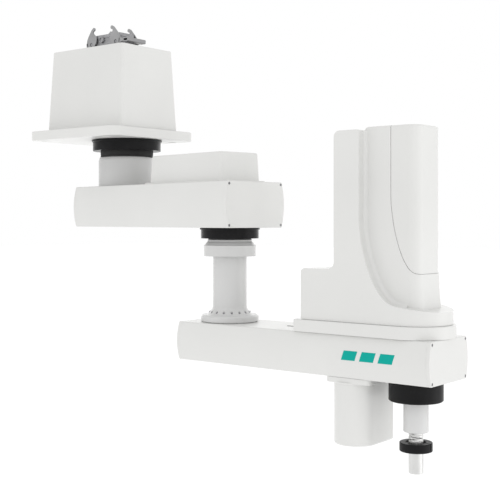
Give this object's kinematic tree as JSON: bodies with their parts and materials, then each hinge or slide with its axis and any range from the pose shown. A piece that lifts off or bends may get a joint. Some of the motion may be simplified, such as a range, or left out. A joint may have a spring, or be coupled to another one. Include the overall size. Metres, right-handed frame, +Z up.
{
  "type": "scara robot arm",
  "caption": "Ceiling-hung SCARA robot arm: connector base, stacked arms on vertical joints, tower cover and a spline shaft that turns and slides.",
  "frame": {"origin": "on the first joint's vertical axis, in the plane of the base plate's upper face, which bolts up against the ceiling frame", "axes": "+Z up, +X along the base and along the second arm at rest, -Y the near side, which the lower motor cover's round face points to"},
  "size_m": [0.7305, 0.1943, 0.6274],
  "materials": {
    "white_paint": "satin powder coat",
    "white_plastic": "satin moulded",
    "grey_paint": "satin",
    "light_grey_paint": "satin",
    "black_anodised": "black anodised, matt",
    "black_rubber": "matt",
    "black_plastic": "matt",
    "bright_steel": "ground",
    "dark_steel": "turned",
    "plated_steel": "zinc plated",
    "grey_die_cast": "die cast, satin",
    "grey_insert": "matt"
  },
  "bodies": {
    "base": {"base_plate": "white_paint", "base_gasket": "black_rubber", "base_housing": "white_paint", "connector_housing": "grey_die_cast", "connector_insert": "grey_insert", "wiring_box": "black_plastic", "j1_motor": "black_plastic", "j1_reducer": "bright_steel", "j1_ring": "black_anodised", "j1_seal": "black_rubber"},
    "lever_front": {"connector_lever_front": "plated_steel"},
    "lever_rear": {"connector_lever_rear": "plated_steel"},
    "arm_1": {"j1_column": "grey_paint", "arm_1_shell": "white_paint", "arm_1_front_cover": "white_paint", "arm_1_rear_cover": "white_paint", "arm_1_motor_cover": "white_plastic", "j2_motor": "black_plastic", "j2_reducer": "bright_steel", "j2_belt": "black_rubber", "j2_ring": "black_anodised", "j2_seal": "black_rubber"},
    "j2_motor_pulley": {"j2_motor_pulley": "dark_steel"},
    "j2_input_pulley": {"j2_input_pulley": "dark_steel"},
    "arm_2": {"j2_neck": "light_grey_paint", "j2_tube": "light_grey_paint", "arm_2_shell": "white_paint", "arm_2_front_cover": "white_paint", "arm_2_rear_cover": "white_paint", "tower_plinth": "white_plastic", "tower_rear_shell": "white_plastic", "tower_column_shell": "white_plastic", "tower_front_shell": "white_plastic", "j4_motor": "black_plastic", "z_motor": "black_plastic", "lower_motor_cover": "white_plastic", "j3_ring": "black_anodised", "nut_bearing": "bright_steel", "z_belt": "black_rubber", "j4_belt": "black_rubber"},
    "z_motor_pulley": {"z_motor_pulley": "dark_steel"},
    "j4_motor_pulley": {"j4_motor_pulley": "dark_steel"},
    "ball_nut": {"ball_nut": "bright_steel"},
    "spline": {"spline_nut": "bright_steel", "spline_sleeve": "white_plastic"},
    "quill": {"shaft": "bright_steel", "stop_collar": "black_anodised", "shaft_top_stop": "black_anodised"}
  },
  "joints": [
    {"name": "j1_turn", "type": "hinge", "parent": "base", "child": "arm_1", "pos_m": [0, 0, 0], "axis": [0, 0, 1], "range_deg": [-121, 139]},
    {"name": "j2_turn", "type": "hinge", "parent": "arm_1", "child": "arm_2", "pos_m": [0.24699, -0.03868, 0], "axis": [0, 0, 1], "range_deg": [-153, 136]},
    {"name": "j2_input_turn", "type": "hinge", "parent": "arm_1", "child": "j2_input_pulley", "pos_m": [0.24699, -0.03868, 0], "axis": [0, 0, 1], "range_deg": [-7700, 7700]},
    {"name": "j2_motor_turn", "type": "hinge", "parent": "arm_1", "child": "j2_motor_pulley", "pos_m": [0.14819, -0.02321, 0], "axis": [0, 0, 1], "range_deg": [-9000, 9000]},
    {"name": "j4_turn", "type": "hinge", "parent": "arm_2", "child": "spline", "pos_m": [0.54699, -0.03868, 0], "axis": [0, 0, 1], "range_deg": [-360, 360]},
    {"name": "z_slide", "type": "slide", "parent": "spline", "child": "quill", "axis": [0, 0, 1], "range_m": [-0.19, 0.01]},
    {"name": "ball_nut_turn", "type": "hinge", "parent": "arm_2", "child": "ball_nut", "pos_m": [0.54699, -0.03868, 0], "axis": [0, 0, 1], "range_deg": [-3500, 200]},
    {"name": "z_motor_turn", "type": "hinge", "parent": "arm_2", "child": "z_motor_pulley", "pos_m": [0.46949, -0.03868, 0], "axis": [0, 0, 1], "range_deg": [-8300, 450]},
    {"name": "j4_motor_turn", "type": "hinge", "parent": "arm_2", "child": "j4_motor_pulley", "pos_m": [0.42699, -0.03868, 0], "axis": [0, 0, 1], "range_deg": [-1000, 1000]},
    {"name": "lever_front_turn", "type": "hinge", "parent": "base", "child": "lever_front", "pos_m": [-0.006, 0, 0.143], "axis": [0, -1, 0], "range_deg": [0, 38]},
    {"name": "lever_rear_turn", "type": "hinge", "parent": "base", "child": "lever_rear", "pos_m": [-0.062, 0, 0.143], "axis": [0, 1, 0], "range_deg": [0, 20]}
  ],
  "couplings": [
    {"joint": "j2_input_turn", "follows": "j2_turn", "ratio": -50},
    {"joint": "j2_motor_turn", "follows": "j2_turn", "ratio": -58.333},
    {"joint": "ball_nut_turn", "follows": "z_slide", "rad_per_m": 314.16},
    {"joint": "z_motor_turn", "follows": "z_slide", "rad_per_m": 753.98},
    {"joint": "j4_motor_turn", "follows": "j4_turn", "ratio": 2.6667}
  ]
}
